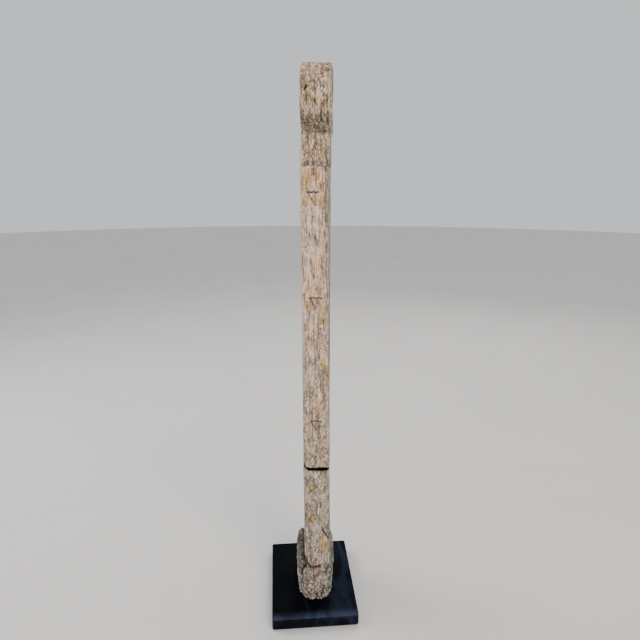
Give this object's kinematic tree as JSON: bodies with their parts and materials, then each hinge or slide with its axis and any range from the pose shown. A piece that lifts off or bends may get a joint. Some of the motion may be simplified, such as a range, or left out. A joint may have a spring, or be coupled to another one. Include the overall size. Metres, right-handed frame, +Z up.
{
  "type": "carved memorial post figure",
  "caption": "Tall flat carved wooden post figure with a round head on a narrow neck, weathered and chip carved, standing on a black board base.",
  "frame": {"origin": "middle of the base's underside, in the plane that the felt pads stand on", "axes": "+Z up along the post, +X the way the figure's broad face looks, +Y along the plank's width, towards the figure's left hand"},
  "size_m": [0.152, 0.203, 0.9325],
  "materials": {
    "weathered_wood": "bare, weathered hardwood, dry and open-grained",
    "black_paint": "satin black paint on a wooden board",
    "zinc_steel": "zinc-plated",
    "felt": "short-pile felt"
  },
  "bodies": {
    "root": {"carved_figure": "weathered_wood", "display_base": "black_paint", "lag_screw_left": "zinc_steel", "lag_screw_right": "zinc_steel", "washer_left": "zinc_steel", "washer_right": "zinc_steel", "felt_pad_front_left": "felt", "felt_pad_front_right": "felt", "felt_pad_rear_left": "felt", "felt_pad_rear_right": "felt"}
  },
  "joints": []
}
